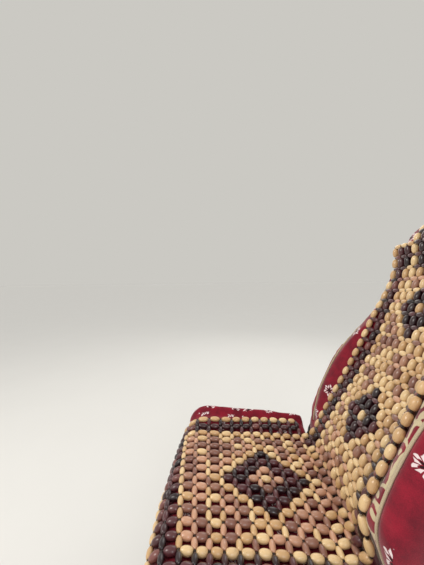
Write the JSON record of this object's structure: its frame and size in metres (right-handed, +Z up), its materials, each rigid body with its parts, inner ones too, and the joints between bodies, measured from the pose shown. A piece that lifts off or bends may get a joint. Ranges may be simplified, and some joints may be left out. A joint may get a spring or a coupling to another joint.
{
  "type": "truck driver's seat",
  "caption": "Air-sprung truck driver's seat in a crimson patterned cover, with a woven wooden bead mat over cushion, backrest and headrest.",
  "frame": {"origin": "centre of the floor bolt pattern, on the floor", "axes": "+Z up, the sitter faces -Y, +X is the sitter's left, the door side"},
  "size_m": [0.592, 0.8648, 1.147],
  "materials": {
    "frame_paint": "black powder coat, lightly worn",
    "zinc_steel": "dull zinc-plated pressed steel",
    "bright_steel": "turned steel",
    "roller_nylon": "natural nylon",
    "spring_rubber": "matt black rubber",
    "damper_paint": "satin black paint",
    "trim_plastic": "grained dark grey moulding",
    "lever_plastic": "smooth grey moulding",
    "velour": "crimson velour with a woven scroll and flower pattern",
    "bead_light": "natural turned wood, clear lacquer"
  },
  "bodies": {
    "base": {"base_pan": "frame_paint", "lower_tracks": "frame_paint", "spring_piston": "spring_rubber", "damper_tube": "damper_paint", "damper_bolt_low": "bright_steel"},
    "scissor_inner": {"inner_arms": "zinc_steel", "inner_tubes": "zinc_steel", "upper_rollers": "roller_nylon", "lower_pivots": "bright_steel"},
    "scissor_outer": {"outer_arms": "zinc_steel", "outer_tubes": "zinc_steel", "lower_rollers": "roller_nylon", "upper_pivots": "bright_steel", "centre_pivots": "bright_steel"},
    "carrier": {"top_plate": "frame_paint", "upper_tracks": "frame_paint", "spring_sleeve": "spring_rubber", "damper_rod": "damper_paint", "damper_bolt_high": "bright_steel", "slide_rails": "zinc_steel"},
    "seat": {"runners": "zinc_steel", "seat_pan": "frame_paint", "slide_bar": "frame_paint", "seat_cushion": "velour", "seat_rolls": "velour", "cover_skirt": "velour", "bead_mat_seat": "bead_light", "recliner_brackets": "frame_paint", "pivot_caps": "trim_plastic", "side_trims": "trim_plastic", "height_lever": "lever_plastic", "recline_lever": "lever_plastic", "damper_knob": "lever_plastic", "buckle_stalk": "trim_plastic", "buckle": "trim_plastic"},
    "backrest": {"recliner_arms": "frame_paint", "back_shell": "trim_plastic", "back_pad": "velour", "headrest": "velour", "back_bolsters": "velour", "bead_mat_back": "bead_light"}
  },
  "joints": [
    {"name": "suspension_height", "type": "hinge", "parent": "base", "child": "scissor_inner", "pos_m": [0, 0.15, 0.022], "axis": [-1, 0, 0], "range_deg": [-7.5, 8], "stiffness_Nm_per_rad": 560, "springref_deg": 10.31},
    {"name": "scissor_cross", "type": "hinge", "parent": "scissor_inner", "child": "scissor_outer", "pos_m": [0, 0, 0.122], "axis": [1, 0, 0], "range_deg": [-15, 16]},
    {"name": "scissor_top", "type": "hinge", "parent": "scissor_outer", "child": "carrier", "pos_m": [0, 0.15, 0.222], "axis": [-1, 0, 0], "range_deg": [-7.5, 8]},
    {"name": "seat_slide", "type": "slide", "parent": "carrier", "child": "seat", "axis": [0, -1, 0], "range_m": [-0.1, 0.1]},
    {"name": "backrest_recline", "type": "hinge", "parent": "seat", "child": "backrest", "pos_m": [0, 0.235, 0.43], "axis": [-1, 0, 0], "range_deg": [-15, 35]}
  ],
  "couplings": [
    {"joint": "scissor_cross", "follows": "suspension_height", "ratio": 2},
    {"joint": "scissor_top", "follows": "suspension_height", "ratio": 1}
  ]
}
